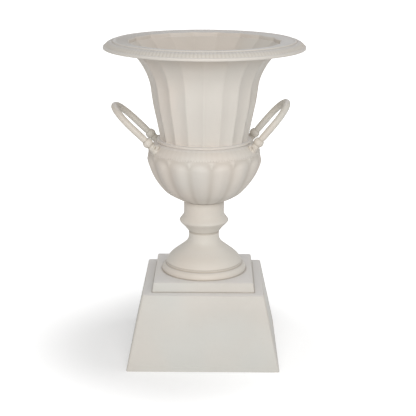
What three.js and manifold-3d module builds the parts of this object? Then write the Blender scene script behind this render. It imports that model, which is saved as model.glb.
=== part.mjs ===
// A footed metal urn: a fluted bell-shaped vase with two loop handles, on a tapered square pedestal.
// Millimetres, +Z up. The origin is on the floor under the centre, and -Y is the front.
import * as THREE from "three";
import { mergeVertices } from "three/addons/utils/BufferGeometryUtils.js";
import Module from "manifold-3d";

const wasm = await Module();
wasm.setup();

// Gaps between pieces
const CLEARANCE = 0.3;
const BOLT_PLAY = 0.4;

// Pedestal, a hollow casting open below
const PEDESTAL_BASE_SIDE = 350;
const PEDESTAL_TOP_SIDE = 277;
const PEDESTAL_HEIGHT = 171;
const PEDESTAL_WALL = 6;
const PEDESTAL_DECK = 8;
const PEDESTAL_CORNER_RADIUS = 5;
const DECK_ACCESS_DIAMETER = 60;

// Square plinth plate under the foot
const PLATE_BOTTOM_SIDE = 234;
const PLATE_TOP_SIDE = 228.5;
const PLATE_HEIGHT = 22;
const PLATE_WALL = 7;
const PLATE_POCKETS = 3;
const PLATE_RIB = 6;
const PLATE_BOSS_DIAMETER = 24;
const PLATE_CORNER_RADIUS = 3;

// Four bolts that hold the plate down on the pedestal
const PLATE_BOLT_SPACING = 184;
const PLATE_BOLT_DIAMETER = 8;
const PLATE_BOLT_GRIP = 11;
const PLATE_BOLT_HEAD = 13;
const PLATE_BOLT_HEAD_HEIGHT = 5.3;
const PLATE_WASHER_DIAMETER = 17;
const PLATE_WASHER_THICKNESS = 1.6;

// Foot: a moulded ring, then a dome that narrows to a neck
const FOOT_RING_DIAMETER = 198;
const FOOT_RING_HEIGHT = 19.5;
const FOOT_BORE = 70;
const FOOT_RING_BAND = 6;
const FOOT_RING_LIP = 4;
const DOME_DIAMETER = 179;
const DOME_HEIGHT = 63.5;
const DOME_BORE_HEIGHT = 24;
const DOME_CROWN = 9;
const NECK_DIAMETER = 71.2;
const NECK_HEIGHT = 10;

// Stem with its knop
const STEM_DIAMETER = 94.4;
const STEM_HEIGHT = 29;
const STEM_BORE = 56;
const KNOP_DIAMETER = 115.5;
const KNOP_RISE = 26.5;
const KNOP_FALL = 18.5;
const KNOP_EDGE = 2.5;

// Gadrooned bowl
const BOWL_DIAMETER = 266;
const BOWL_HEIGHT = 118;
const BOWL_BELLY_HEIGHT = 99;
const BOWL_FLOOR = 10;
const BOWL_WALL = 8;
const BOWL_CONE_DIAMETER = 178;
const BOWL_CONE_HEIGHT = 23;
const LOBES = 16;
const LOBE_TURN = -3.2;
const LOBE_RELIEF = 0.042;
const LOBE_FADE = 12;

// Shoulder that carries the handles
const SHOULDER_DIAMETER = 258.4;
const SHOULDER_HEIGHT = 23;
const SHOULDER_TOP_DIAMETER = 219;
const SHOULDER_WALL = 11;
const SHOULDER_SPIGOT = 6;
const SHOULDER_SPIGOT_WALL = 6;
const FLANGE_THICKNESS = 6;
const NECK_BORE = 160;

// Bead between the shoulder and the bell
const BEAD_DIAMETER = 221;
const BEAD_HEIGHT = 6;

// Rim, an overhanging moulded lip; what it overhangs is the bell's mouth
const RIM_DIAMETER = 460;
const RIM_OVERHANG = 46;
const RIM_CREST_SHARE = 0.496;
const RIM_CREST_HEIGHT = 13;
const RIM_EDGE_THICKNESS = 6.5;
const RIM_OVERHANG_DROP = 7.5;
const RIM_INNER_RISE = 8.5;
const RIM_INNER_SLOPE = 6;
const RIM_CREST_WIDTH = 5;
const RIM_GROOVE = 2.5;
const RIM_LAP_GAP = 1;

// Fluted bell
const BELL_BASE_DIAMETER = 205;
const BELL_HEIGHT = 215;
const BELL_MOUTH_DIAMETER = RIM_DIAMETER - 2 * RIM_OVERHANG;
const BELL_WALL = 6.5;
const BELL_LIP_WALL = 11;
const FLUTES = 19;
const FLUTE_DEPTH = 4.2;
const FLUTE_FADE = 12;

// Screws that hold the bell and the bead on the shoulder
const NECK_SCREWS = 4;
const NECK_SCREW_CIRCLE = 172;
const NECK_SCREW_DIAMETER = 5;
const NECK_SCREW_HEAD = 9;
const NECK_SCREW_HEAD_HEIGHT = 4;
const NECK_SCREW_GRIP = 4.5;

// Loop handles: each pair of legs enters the shoulder at one height
const HANDLE_BAR_DIAMETER = 15;
const HANDLE_SPAN = 113;
const HANDLE_FOOT_HEIGHT = 12;
const HANDLE_BAR_START = 10;
const LEFT_HANDLE_REACH = 134;
const LEFT_HANDLE_FOOT_RADIUS = 111;
const LEFT_HANDLE_TILT = 46;
const LEFT_HANDLE_TURN = 180;
const RIGHT_HANDLE_REACH = 131;
const RIGHT_HANDLE_FOOT_RADIUS = 107;
const RIGHT_HANDLE_TILT = 52;
const RIGHT_HANDLE_TURN = 3;
const TENON_DIAMETER = 10;
const TENON_END = 2;
const BOSS_DIAMETER = 23;
const BOSS_DEPTH = 30;
const BOSS_START = 8;
const COLLAR_DIAMETER = 23.4;
const COLLAR_END_DIAMETER = 18.5;
const COLLAR_LENGTH = 16;
const COLLAR_PLACE = 25;
const SOCKET_END_DIAMETER = 18.5;
const SOCKET_ROOT_DIAMETER = 25;
const LEAF_LENGTH = 22;
const LEAF_WIDTH = 30;
const LEAF_THICKNESS = 3;
const LEAF_RISE = 40;
const HANDLE_NUT_FLATS = 17;
const HANDLE_NUT_HEIGHT = 8;
const HANDLE_WASHER_DIAMETER = 20;
const HANDLE_WASHER_THICKNESS = 2;

// Tie rod that clamps the bowl, stem and foot down on the plate
const ROD_DIAMETER = 12;
const ROD_NUT_FLATS = 19;
const ROD_NUT_HEIGHT = 10;
const ROD_WASHER_DIAMETER = 37;
const ROD_WASHER_THICKNESS = 3;
const ROD_SEAL_DIAMETER = 42;
const ROD_SEAL_THICKNESS = 2;
const ROD_END = 3;

// Facets round each kind of turned piece
const WIDE_FACETS = 48;
const BODY_FACETS = 36;
const SMALL_FACETS = 12;
const FACETS_PER_LOBE = 5;
const FACETS_PER_FLUTE = 4;
const CURVE_STEPS = 4;
const HALF_ROUND_STEPS = 6;
const CORNER_STEPS = 2;
const BAR_STEPS = 30;

// Heights of the joints, from the floor up
const PLATE_Z = PEDESTAL_HEIGHT;
const RING_Z = PLATE_Z + PLATE_HEIGHT;
const DOME_Z = RING_Z + FOOT_RING_HEIGHT;
const KNOP_Z = DOME_Z + DOME_HEIGHT + NECK_HEIGHT;
const BOWL_Z = KNOP_Z + KNOP_RISE + KNOP_FALL + STEM_HEIGHT;
const SHOULDER_Z = BOWL_Z + BOWL_HEIGHT;
const BEAD_Z = SHOULDER_Z + SHOULDER_HEIGHT;
const BELL_Z = BEAD_Z + BEAD_HEIGHT;
const RIM_Z = BELL_Z + BELL_HEIGHT;

const CREAM = 0xd6cdc0;
const castMetal = new THREE.MeshStandardMaterial({ color: CREAM, roughness: 0.55, metalness: 0.0 });
const zincSteel = new THREE.MeshStandardMaterial({ color: 0xb4b6b8, roughness: 0.4, metalness: 1.0 });
const blackRubber = new THREE.MeshStandardMaterial({ color: 0x2a2a2a, roughness: 0.9, metalness: 0.0 });

const urn = new THREE.Group();

function addPiece(name, geometry, material, parent = urn) {
  const piece = new THREE.Mesh(geometry, material);
  piece.name = name;
  parent.add(piece);
  return piece;
}

// The solid of a closed geometry, for cutting and joining.
function solidOf(geometry) {
  const bare = geometry.clone();
  bare.deleteAttribute("normal");
  bare.deleteAttribute("uv");
  const merged = mergeVertices(bare, 1e-4);
  return new wasm.Manifold(
    new wasm.Mesh({
      numProp: 3,
      vertProperties: merged.attributes.position.array,
      triVerts: new Uint32Array(merged.index.array),
    }),
  );
}

function geometryOf(solid) {
  const mesh = solid.getMesh();
  const geometry = new THREE.BufferGeometry();
  geometry.setAttribute("position", new THREE.BufferAttribute(mesh.vertProperties, 3));
  geometry.setIndex(new THREE.BufferAttribute(mesh.triVerts, 1));
  return geometry;
}

// A closed outline of radius and height turned about the Z axis, with facet edges at the front.
function turned(path, facets) {
  path.closePath();
  const points = path.getPoints(CURVE_STEPS);
  if (THREE.ShapeUtils.area(points) < 0) {
    points.reverse();
  }
  return new THREE.LatheGeometry(points, facets).rotateX(Math.PI / 2);
}

// Moves each vertex towards the axis by what inward(angle from the front, radius, height) returns.
function carved(geometry, inward) {
  const position = geometry.attributes.position;
  for (let i = 0; i < position.count; i += 1) {
    const x = position.getX(i);
    const y = position.getY(i);
    const radius = Math.hypot(x, y);
    const share = 1 - inward(Math.atan2(x, -y), radius, position.getZ(i)) / radius;
    position.setXY(i, x * share, y * share);
  }
  return geometry;
}

// Place across one repeat of a pattern, from -1 to 1, with 0 at the middle of the repeat.
function acrossRepeat(angle, count, startShare) {
  const turn = (angle / (2 * Math.PI)) * count + startShare;
  return 2 * (turn - Math.floor(turn)) - 1;
}

function rounded(side, radius) {
  const half = side / 2;
  const inner = half - radius;
  const shape = new THREE.Shape();
  shape.absarc(inner, inner, radius, 0, Math.PI / 2);
  shape.absarc(-inner, inner, radius, Math.PI / 2, Math.PI);
  shape.absarc(-inner, -inner, radius, Math.PI, 1.5 * Math.PI);
  shape.absarc(inner, -inner, radius, 1.5 * Math.PI, 2 * Math.PI);
  return shape;
}

// A square block with rounded corners whose side changes evenly from the bottom to the top.
function taperedBlock(bottomSide, topSide, height, radius, z) {
  const block = new THREE.ExtrudeGeometry(rounded(bottomSide, radius), {
    depth: height,
    bevelEnabled: false,
    curveSegments: CORNER_STEPS,
  });
  const position = block.attributes.position;
  for (let i = 0; i < position.count; i += 1) {
    const up = position.getZ(i) / height;
    const share = 1 + (topSide / bottomSide - 1) * up;
    position.setXYZ(i, position.getX(i) * share, position.getY(i) * share, z + position.getZ(i));
  }
  return block;
}

function upright(diameter, bottom, top, facets = SMALL_FACETS) {
  return new THREE.CylinderGeometry(diameter / 2, diameter / 2, top - bottom, facets)
    .rotateX(Math.PI / 2)
    .translate(0, 0, (bottom + top) / 2);
}

// A cylinder along X, the direction of a handle's legs.
function lengthwise(diameter, start, end, facets = SMALL_FACETS) {
  return new THREE.CylinderGeometry(diameter / 2, diameter / 2, end - start, facets)
    .rotateZ(Math.PI / 2)
    .translate((start + end) / 2, 0, 0);
}

function tube(outer, bore, bottom, top, facets = SMALL_FACETS) {
  const ring = new THREE.Path();
  ring.moveTo(bore / 2, bottom);
  ring.lineTo(outer / 2, bottom);
  ring.lineTo(outer / 2, top);
  ring.lineTo(bore / 2, top);
  return turned(ring, facets);
}

function hexagon(flats) {
  const corner = flats / Math.sqrt(3);
  const corners = [];
  for (let i = 0; i < 6; i += 1) {
    const angle = (i * Math.PI) / 3;
    corners.push(new THREE.Vector2(corner * Math.cos(angle), corner * Math.sin(angle)));
  }
  return new THREE.Shape(corners);
}

function hexNut(flats, thread, height) {
  const shape = hexagon(flats);
  const hole = new THREE.Path();
  hole.absarc(0, 0, thread / 2 + CLEARANCE, 0, 2 * Math.PI, true);
  shape.holes.push(hole);
  return new THREE.ExtrudeGeometry(shape, {
    depth: height,
    bevelEnabled: false,
    curveSegments: HALF_ROUND_STEPS,
  });
}

function washer(outer, thread, thickness) {
  return tube(outer, thread + 2 * BOLT_PLAY, 0, thickness);
}

function between(a, b, share) {
  return a + (b - a) * share;
}

// Side of the pedestal at a height above the floor
function pedestalSide(z) {
  return between(PEDESTAL_BASE_SIDE, PEDESTAL_TOP_SIDE, z / PEDESTAL_HEIGHT);
}

// The four bolt places at the plate's corners
function plateBoltPlaces() {
  const half = PLATE_BOLT_SPACING / 2;
  return [
    [-half, -half],
    [half, -half],
    [half, half],
    [-half, half],
  ];
}

function pedestal() {
  const deckUnder = PEDESTAL_HEIGHT - PEDESTAL_DECK;
  const body = solidOf(
    taperedBlock(PEDESTAL_BASE_SIDE, PEDESTAL_TOP_SIDE, PEDESTAL_HEIGHT, PEDESTAL_CORNER_RADIUS, 0),
  );
  const hollow = solidOf(
    taperedBlock(
      pedestalSide(-1) - 2 * PEDESTAL_WALL,
      pedestalSide(deckUnder) - 2 * PEDESTAL_WALL,
      deckUnder + 1,
      PEDESTAL_CORNER_RADIUS,
      -1,
    ),
  );
  let casting = body
    .subtract(hollow)
    .subtract(solidOf(upright(DECK_ACCESS_DIAMETER, deckUnder - 1, PEDESTAL_HEIGHT + 1, BODY_FACETS)));
  for (const [x, y] of plateBoltPlaces()) {
    const hole = upright(PLATE_BOLT_DIAMETER + 2 * BOLT_PLAY, deckUnder - 1, PEDESTAL_HEIGHT + 1);
    casting = casting.subtract(solidOf(hole.translate(x, y, 0)));
  }
  return geometryOf(casting);
}

// Square pockets under the plate, in rows and columns with ribs between them
function platePockets() {
  const under = RING_Z - PLATE_WALL;
  const pitch = (PLATE_BOTTOM_SIDE - 2 * PLATE_WALL + PLATE_RIB) / PLATE_POCKETS;
  const first = (-pitch * (PLATE_POCKETS - 1)) / 2;
  const pockets = [];
  for (let row = 0; row < PLATE_POCKETS; row += 1) {
    for (let column = 0; column < PLATE_POCKETS; column += 1) {
      pockets.push(
        new THREE.BoxGeometry(pitch - PLATE_RIB, pitch - PLATE_RIB, under - PLATE_Z + 1).translate(
          first + column * pitch,
          first + row * pitch,
          (under + PLATE_Z - 1) / 2,
        ),
      );
    }
  }
  return pockets;
}

function plinthPlate() {
  const under = RING_Z - PLATE_WALL;
  let casting = solidOf(
    taperedBlock(PLATE_BOTTOM_SIDE, PLATE_TOP_SIDE, PLATE_HEIGHT, PLATE_CORNER_RADIUS, PLATE_Z),
  );
  for (const pocket of platePockets()) {
    casting = casting.subtract(solidOf(pocket));
  }
  casting = casting.subtract(solidOf(upright(ROD_DIAMETER + 2 * BOLT_PLAY, under - 1, RING_Z + 1)));
  for (const [x, y] of plateBoltPlaces()) {
    const boss = upright(PLATE_BOSS_DIAMETER, PLATE_Z, under + 1);
    const hole = upright(PLATE_BOLT_DIAMETER + 2 * CLEARANCE, PLATE_Z - 1, PLATE_Z + PLATE_BOLT_GRIP + 1);
    casting = casting.add(solidOf(boss.translate(x, y, 0))).subtract(solidOf(hole.translate(x, y, 0)));
  }
  return geometryOf(casting);
}

function footRing() {
  const radius = FOOT_RING_DIAMETER / 2;
  const seat = DOME_DIAMETER / 2;
  const ring = new THREE.Path();
  ring.moveTo(FOOT_BORE / 2, RING_Z);
  ring.lineTo(radius, RING_Z);
  ring.lineTo(radius, RING_Z + FOOT_RING_BAND);
  ring.quadraticCurveTo(radius, DOME_Z - FOOT_RING_LIP, seat + FOOT_RING_LIP, DOME_Z - FOOT_RING_LIP);
  ring.lineTo(seat, DOME_Z);
  ring.lineTo(FOOT_BORE / 2, DOME_Z);
  return turned(ring, WIDE_FACETS);
}

function footDome() {
  const hole = ROD_DIAMETER / 2 + BOLT_PLAY;
  const bore = FOOT_BORE / 2;
  const r = (share) => between(DOME_DIAMETER / 2, NECK_DIAMETER / 2, share);
  const z = (share) => DOME_Z + DOME_HEIGHT * share;
  const dome = new THREE.Path();
  dome.moveTo(bore, DOME_Z);
  dome.lineTo(r(0), DOME_Z);
  dome.bezierCurveTo(r(0.02), z(0.13), r(0.24), z(0.29), r(0.52), z(0.49));
  dome.bezierCurveTo(r(0.78), z(0.63), r(1), z(0.74), r(1), z(1));
  dome.lineTo(r(1), KNOP_Z);
  dome.lineTo(hole, KNOP_Z);
  dome.lineTo(hole, KNOP_Z - DOME_CROWN);
  dome.lineTo(between(hole, bore, 0.4), KNOP_Z - DOME_CROWN);
  dome.lineTo(bore, DOME_Z + DOME_BORE_HEIGHT);
  return turned(dome, BODY_FACETS);
}

function stemWithKnop() {
  const neck = NECK_DIAMETER / 2;
  const stem = STEM_DIAMETER / 2;
  const edge = KNOP_DIAMETER / 2;
  const widest = KNOP_Z + KNOP_RISE;
  const stemStart = widest + KNOP_FALL;
  const turning = new THREE.Path();
  turning.moveTo(STEM_BORE / 2, KNOP_Z);
  turning.lineTo(neck, KNOP_Z);
  turning.quadraticCurveTo(
    between(neck, edge, 0.25), between(KNOP_Z, widest, 0.3),
    edge - KNOP_EDGE / 2, widest - KNOP_EDGE,
  );
  turning.quadraticCurveTo(edge, widest, edge - KNOP_EDGE / 2, widest + KNOP_EDGE);
  turning.quadraticCurveTo(stem, stemStart - KNOP_EDGE, stem, stemStart);
  turning.lineTo(stem, BOWL_Z);
  turning.lineTo(STEM_BORE / 2, BOWL_Z);
  return turned(turning, BODY_FACETS);
}

// Depth of the round valleys between the bowl's lobes, which fade out under the shoulder.
function lobeValley(angle, radius, z) {
  const fade = Math.min(1, Math.max(0, (SHOULDER_Z - z) / LOBE_FADE));
  const across = acrossRepeat(angle, LOBES, 0.5);
  return (LOBE_RELIEF * radius * fade * (1 - Math.cos(Math.PI * across))) / 2;
}

function bowl() {
  const foot = STEM_DIAMETER / 2;
  const cone = BOWL_CONE_DIAMETER / 2;
  const belly = BOWL_DIAMETER / 2;
  const top = SHOULDER_DIAMETER / 2;
  const coneZ = BOWL_Z + BOWL_CONE_HEIGHT;
  const bellyZ = BOWL_Z + BOWL_BELLY_HEIGHT;
  const hole = ROD_DIAMETER / 2 + BOLT_PLAY;
  const mouth = top - BOWL_WALL;
  const floorZ = BOWL_Z + BOWL_FLOOR;
  const floor = foot + CLEARANCE;

  const outside = new THREE.Path();
  outside.moveTo(hole, BOWL_Z);
  outside.lineTo(foot - 1, BOWL_Z);
  outside.lineTo(cone, coneZ);
  outside.bezierCurveTo(
    between(cone, belly, 0.28), between(coneZ, bellyZ, 0.1),
    between(cone, belly, 0.92), between(coneZ, bellyZ, 0.6),
    belly, bellyZ,
  );
  outside.quadraticCurveTo(belly, between(bellyZ, SHOULDER_Z, 0.5), top, SHOULDER_Z);
  outside.closePath();
  const solid = new THREE.Path();
  solid.moveTo(0, BOWL_Z);
  solid.lineTo(foot - 1, BOWL_Z);
  for (const curve of outside.curves.slice(1, 4)) {
    solid.curves.push(curve);
    solid.currentPoint.copy(curve.getPoint(1));
  }
  solid.lineTo(0, SHOULDER_Z);
  const lobedForm = carved(turned(solid, LOBES * FACETS_PER_LOBE), lobeValley);
  const lobed = solidOf(lobedForm.rotateZ(THREE.MathUtils.degToRad(LOBE_TURN)));

  const inside = new THREE.Path();
  inside.moveTo(0, floorZ);
  inside.lineTo(floor, floorZ);
  inside.bezierCurveTo(
    between(floor, mouth, 0.32), between(floorZ, SHOULDER_Z, 0.02),
    mouth, between(floorZ, SHOULDER_Z, 0.46),
    mouth, between(floorZ, SHOULDER_Z, 0.8),
  );
  inside.lineTo(mouth, SHOULDER_Z + 1);
  inside.lineTo(0, SHOULDER_Z + 1);
  const hollow = solidOf(turned(inside, BODY_FACETS));
  const rodHole = solidOf(upright(2 * hole, BOWL_Z - 1, floorZ + 1));
  return geometryOf(lobed.subtract(hollow).subtract(rodHole));
}

// The shoulder's outer curve, standing off by a distance, closed down to the axis.
function shoulderForm(standOff) {
  const low = SHOULDER_DIAMETER / 2 + standOff;
  const high = SHOULDER_TOP_DIAMETER / 2 + standOff * 0.5;
  const top = BEAD_Z + standOff * 0.75;
  const form = new THREE.Path();
  form.moveTo(0, SHOULDER_Z);
  form.lineTo(low, SHOULDER_Z);
  form.quadraticCurveTo(low - 2.5, between(SHOULDER_Z, top, 0.65), high, top);
  form.lineTo(0, top);
  return turned(form, WIDE_FACETS);
}

function neckScrewPlaces() {
  const places = [];
  for (let i = 0; i < NECK_SCREWS; i += 1) {
    const angle = ((i + 0.5) * 2 * Math.PI) / NECK_SCREWS;
    places.push([(NECK_SCREW_CIRCLE / 2) * Math.cos(angle), (NECK_SCREW_CIRCLE / 2) * Math.sin(angle)]);
  }
  return places;
}

function withNeckHoles(solid, diameter, bottom, top) {
  let drilled = solid;
  for (const [x, y] of neckScrewPlaces()) {
    drilled = drilled.subtract(solidOf(upright(diameter, bottom, top).translate(x, y, 0)));
  }
  return drilled;
}

// The two handles, each in its own frame: the loop lies along +X and is then tilted up and turned.
const HANDLES = [
  {
    name: "left",
    reach: LEFT_HANDLE_REACH,
    footRadius: LEFT_HANDLE_FOOT_RADIUS,
    tilt: LEFT_HANDLE_TILT,
    turn: LEFT_HANDLE_TURN,
    frontSide: 1,
  },
  {
    name: "right",
    reach: RIGHT_HANDLE_REACH,
    footRadius: RIGHT_HANDLE_FOOT_RADIUS,
    tilt: RIGHT_HANDLE_TILT,
    turn: RIGHT_HANDLE_TURN,
    frontSide: -1,
  },
];
const SIDES = [-1, 1];

// Puts a geometry made in a handle's frame in its place on the urn.
function onHandle(geometry, handle) {
  return geometry
    .rotateY(-THREE.MathUtils.degToRad(handle.tilt))
    .translate(handle.footRadius, 0, SHOULDER_Z + HANDLE_FOOT_HEIGHT)
    .rotateZ(THREE.MathUtils.degToRad(handle.turn));
}

// The same for a geometry made along one leg, with the leg's foot at the origin.
function onLeg(geometry, handle, side) {
  return onHandle(geometry.translate(0, (side * HANDLE_SPAN) / 2, 0), handle);
}

function shoulder() {
  const inner = SHOULDER_DIAMETER / 2 - SHOULDER_WALL;
  const spigot = SHOULDER_DIAMETER / 2 - BOWL_WALL - CLEARANCE;
  const spigotIn = spigot - SHOULDER_SPIGOT_WALL;
  const cavity = new THREE.Path();
  cavity.moveTo(0, SHOULDER_Z - 1);
  cavity.lineTo(inner - SHOULDER_SPIGOT_WALL, SHOULDER_Z - 1);
  cavity.lineTo(inner - SHOULDER_SPIGOT_WALL, SHOULDER_Z);
  cavity.lineTo(NECK_BORE / 2 + SHOULDER_WALL, BEAD_Z - FLANGE_THICKNESS);
  cavity.lineTo(NECK_BORE / 2, BEAD_Z - FLANGE_THICKNESS);
  cavity.lineTo(NECK_BORE / 2, BEAD_Z + 1);
  cavity.lineTo(0, BEAD_Z + 1);
  let casting = solidOf(shoulderForm(0))
    .subtract(solidOf(turned(cavity, BODY_FACETS)))
    .add(solidOf(tube(2 * spigot, 2 * spigotIn, SHOULDER_Z - SHOULDER_SPIGOT, SHOULDER_Z + 1, BODY_FACETS)));
  const insideBowl = solidOf(upright(2 * spigot, SHOULDER_Z - 2 * BOSS_DEPTH, BEAD_Z, BODY_FACETS));
  for (const handle of HANDLES) {
    for (const side of SIDES) {
      const boss = onLeg(lengthwise(BOSS_DIAMETER, -BOSS_DEPTH, -BOSS_START), handle, side);
      casting = casting.add(solidOf(boss).intersect(insideBowl));
    }
  }
  for (const handle of HANDLES) {
    for (const side of SIDES) {
      const hole = lengthwise(TENON_DIAMETER + 2 * BOLT_PLAY, -BOSS_DEPTH - 1, HANDLE_BAR_START);
      casting = casting.subtract(solidOf(onLeg(hole, handle, side)));
    }
  }
  const threads = NECK_SCREW_DIAMETER + 2 * CLEARANCE;
  return geometryOf(withNeckHoles(casting, threads, BEAD_Z - FLANGE_THICKNESS - 1, BEAD_Z + 1));
}

function beadRing() {
  const bead = new THREE.Path();
  const flat = (BEAD_DIAMETER - BEAD_HEIGHT) / 2;
  const swell = flat + (2 / 3) * BEAD_HEIGHT;
  bead.moveTo(NECK_BORE / 2, BEAD_Z);
  bead.lineTo(flat, BEAD_Z);
  bead.bezierCurveTo(swell, BEAD_Z, swell, BELL_Z, flat, BELL_Z);
  bead.lineTo(NECK_BORE / 2, BELL_Z);
  const holes = NECK_SCREW_DIAMETER + 2 * BOLT_PLAY;
  return geometryOf(withNeckHoles(solidOf(turned(bead, WIDE_FACETS)), holes, BEAD_Z - 1, BELL_Z + 1));
}

// Depth of the bell's flutes, which fade out at the mouth.
function fluteDepth(angle, radius, z) {
  const fade = Math.min(1, Math.max(0, (RIM_Z - z) / FLUTE_FADE));
  const across = acrossRepeat(angle, FLUTES, 0);
  return FLUTE_DEPTH * fade * (1 - across * across);
}

// The bell's side as shares of its height, and of the way from its base radius to its mouth radius.
const BELL_SIDE = [
  [0, 0],
  [0.12, 0.045],
  [0.3, 0.145],
  [0.45, 0.225],
  [0.6, 0.28],
  [0.72, 0.382],
  [0.8, 0.505],
  [0.87, 0.665],
  [0.94, 0.855],
  [1, 1],
];

function bellSide(inset, lipInset) {
  const base = BELL_BASE_DIAMETER / 2;
  const mouth = BELL_MOUTH_DIAMETER / 2;
  return BELL_SIDE.map(
    ([up, out]) =>
      new THREE.Vector2(between(base, mouth, out) - between(inset, lipInset, up ** 4), BELL_Z + BELL_HEIGHT * up),
  );
}

function bell() {
  const wall = new THREE.Path();
  const outer = bellSide(0, 0);
  const inner = bellSide(BELL_WALL, BELL_LIP_WALL).reverse();
  wall.moveTo(outer[0].x, outer[0].y);
  for (const point of [...outer.slice(1), ...inner]) {
    wall.lineTo(point.x, point.y);
  }
  const fluted = solidOf(carved(turned(wall, FLUTES * FACETS_PER_FLUTE), fluteDepth));
  const flange = tube(
    BELL_BASE_DIAMETER - 2 * FLUTE_DEPTH - BELL_WALL, NECK_BORE, BELL_Z, BELL_Z + FLANGE_THICKNESS, BODY_FACETS,
  );
  const holes = NECK_SCREW_DIAMETER + 2 * BOLT_PLAY;
  const joined = fluted.add(solidOf(flange));
  return geometryOf(withNeckHoles(joined, holes, BELL_Z - 1, BELL_Z + FLANGE_THICKNESS + 1));
}

function rim() {
  const seatIn = BELL_MOUTH_DIAMETER / 2 - BELL_LIP_WALL;
  const seatOut = BELL_MOUTH_DIAMETER / 2;
  const edge = RIM_DIAMETER / 2;
  const crest = between(seatOut, edge, RIM_CREST_SHARE);
  const crestZ = RIM_Z + RIM_CREST_HEIGHT;
  const under = RIM_Z - RIM_OVERHANG_DROP;
  const edgeTop = under + RIM_EDGE_THICKNESS;
  const lip = new THREE.Path();
  lip.moveTo(seatIn, RIM_Z);
  lip.lineTo(seatIn + RIM_INNER_SLOPE, RIM_Z + RIM_INNER_RISE);
  lip.lineTo(crest - RIM_CREST_WIDTH, crestZ - 1);
  lip.quadraticCurveTo(crest, crestZ + 1, crest + RIM_CREST_WIDTH / 2, crestZ - RIM_GROOVE);
  lip.lineTo(crest + RIM_CREST_WIDTH / 2, crestZ - RIM_GROOVE - 1);
  lip.quadraticCurveTo(between(crest, edge, 0.65), crestZ - RIM_GROOVE, edge - 3, edgeTop + 2);
  lip.lineTo(edge, edgeTop);
  lip.lineTo(edge, under + 1);
  lip.lineTo(edge - 1.5, under);
  lip.lineTo(between(seatOut, edge, 0.3), under);
  lip.quadraticCurveTo(seatOut + 2, under, seatOut + RIM_LAP_GAP, RIM_Z);
  return turned(lip, WIDE_FACETS);
}

// The centre line of a loop: two straight legs along +X, joined by half a circle.
class LoopLine extends THREE.Curve {
  constructor(reach) {
    super();
    this.bendRadius = HANDLE_SPAN / 2;
    this.bendStart = reach - this.bendRadius;
    const straight = this.bendStart - HANDLE_BAR_START;
    this.legShare = straight / (2 * straight + Math.PI * this.bendRadius);
  }

  getPoint(t, target = new THREE.Vector3()) {
    if (t < this.legShare) {
      return target.set(between(HANDLE_BAR_START, this.bendStart, t / this.legShare), -this.bendRadius, 0);
    }
    if (t > 1 - this.legShare) {
      return target.set(between(HANDLE_BAR_START, this.bendStart, (1 - t) / this.legShare), this.bendRadius, 0);
    }
    const angle = Math.PI * ((t - this.legShare) / (1 - 2 * this.legShare) - 0.5);
    return target.set(
      this.bendStart + this.bendRadius * Math.cos(angle),
      this.bendRadius * Math.sin(angle),
      0,
    );
  }
}

function handleLoop(handle) {
  const section = new THREE.Shape();
  section.absarc(0, 0, HANDLE_BAR_DIAMETER / 2, 0, 2 * Math.PI);
  const bar = new THREE.ExtrudeGeometry(section, {
    steps: BAR_STEPS,
    bevelEnabled: false,
    curveSegments: HALF_ROUND_STEPS,
    extrudePath: new LoopLine(handle.reach),
  });
  const tenonEnd = -BOSS_DEPTH - HANDLE_WASHER_THICKNESS - HANDLE_NUT_HEIGHT - TENON_END;
  let loop = solidOf(onHandle(bar, handle));
  for (const side of SIDES) {
    const tenon = lengthwise(TENON_DIAMETER, tenonEnd, HANDLE_BAR_START + 1);
    loop = loop.add(solidOf(onLeg(tenon, handle, side)));
  }
  return geometryOf(loop);
}

function collar() {
  const bore = HANDLE_BAR_DIAMETER / 2 + CLEARANCE;
  const half = COLLAR_LENGTH / 2;
  const ring = new THREE.Path();
  ring.moveTo(bore, -half);
  ring.lineTo(COLLAR_END_DIAMETER / 2, -half);
  const swell = between(COLLAR_END_DIAMETER, COLLAR_DIAMETER, 4 / 3) / 2;
  ring.bezierCurveTo(swell, -half, swell, half, COLLAR_END_DIAMETER / 2, half);
  ring.lineTo(bore, half);
  return turned(ring, SMALL_FACETS).rotateY(Math.PI / 2).translate(COLLAR_PLACE, 0, 0);
}

// A leaf outline in the plane that faces the shoulder, the leg at the origin and the tip along -Y.
function leafOutline() {
  const half = LEAF_WIDTH / 2;
  const top = LEAF_LENGTH * 0.4;
  const tip = top - LEAF_LENGTH;
  const leaf = new THREE.Shape();
  leaf.moveTo(0, top);
  leaf.bezierCurveTo(-half * 1.2, top, -half * 1.4, tip * 0.3, 0, tip);
  leaf.bezierCurveTo(half * 1.4, tip * 0.3, half * 1.2, top, 0, top);
  return leaf;
}

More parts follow.
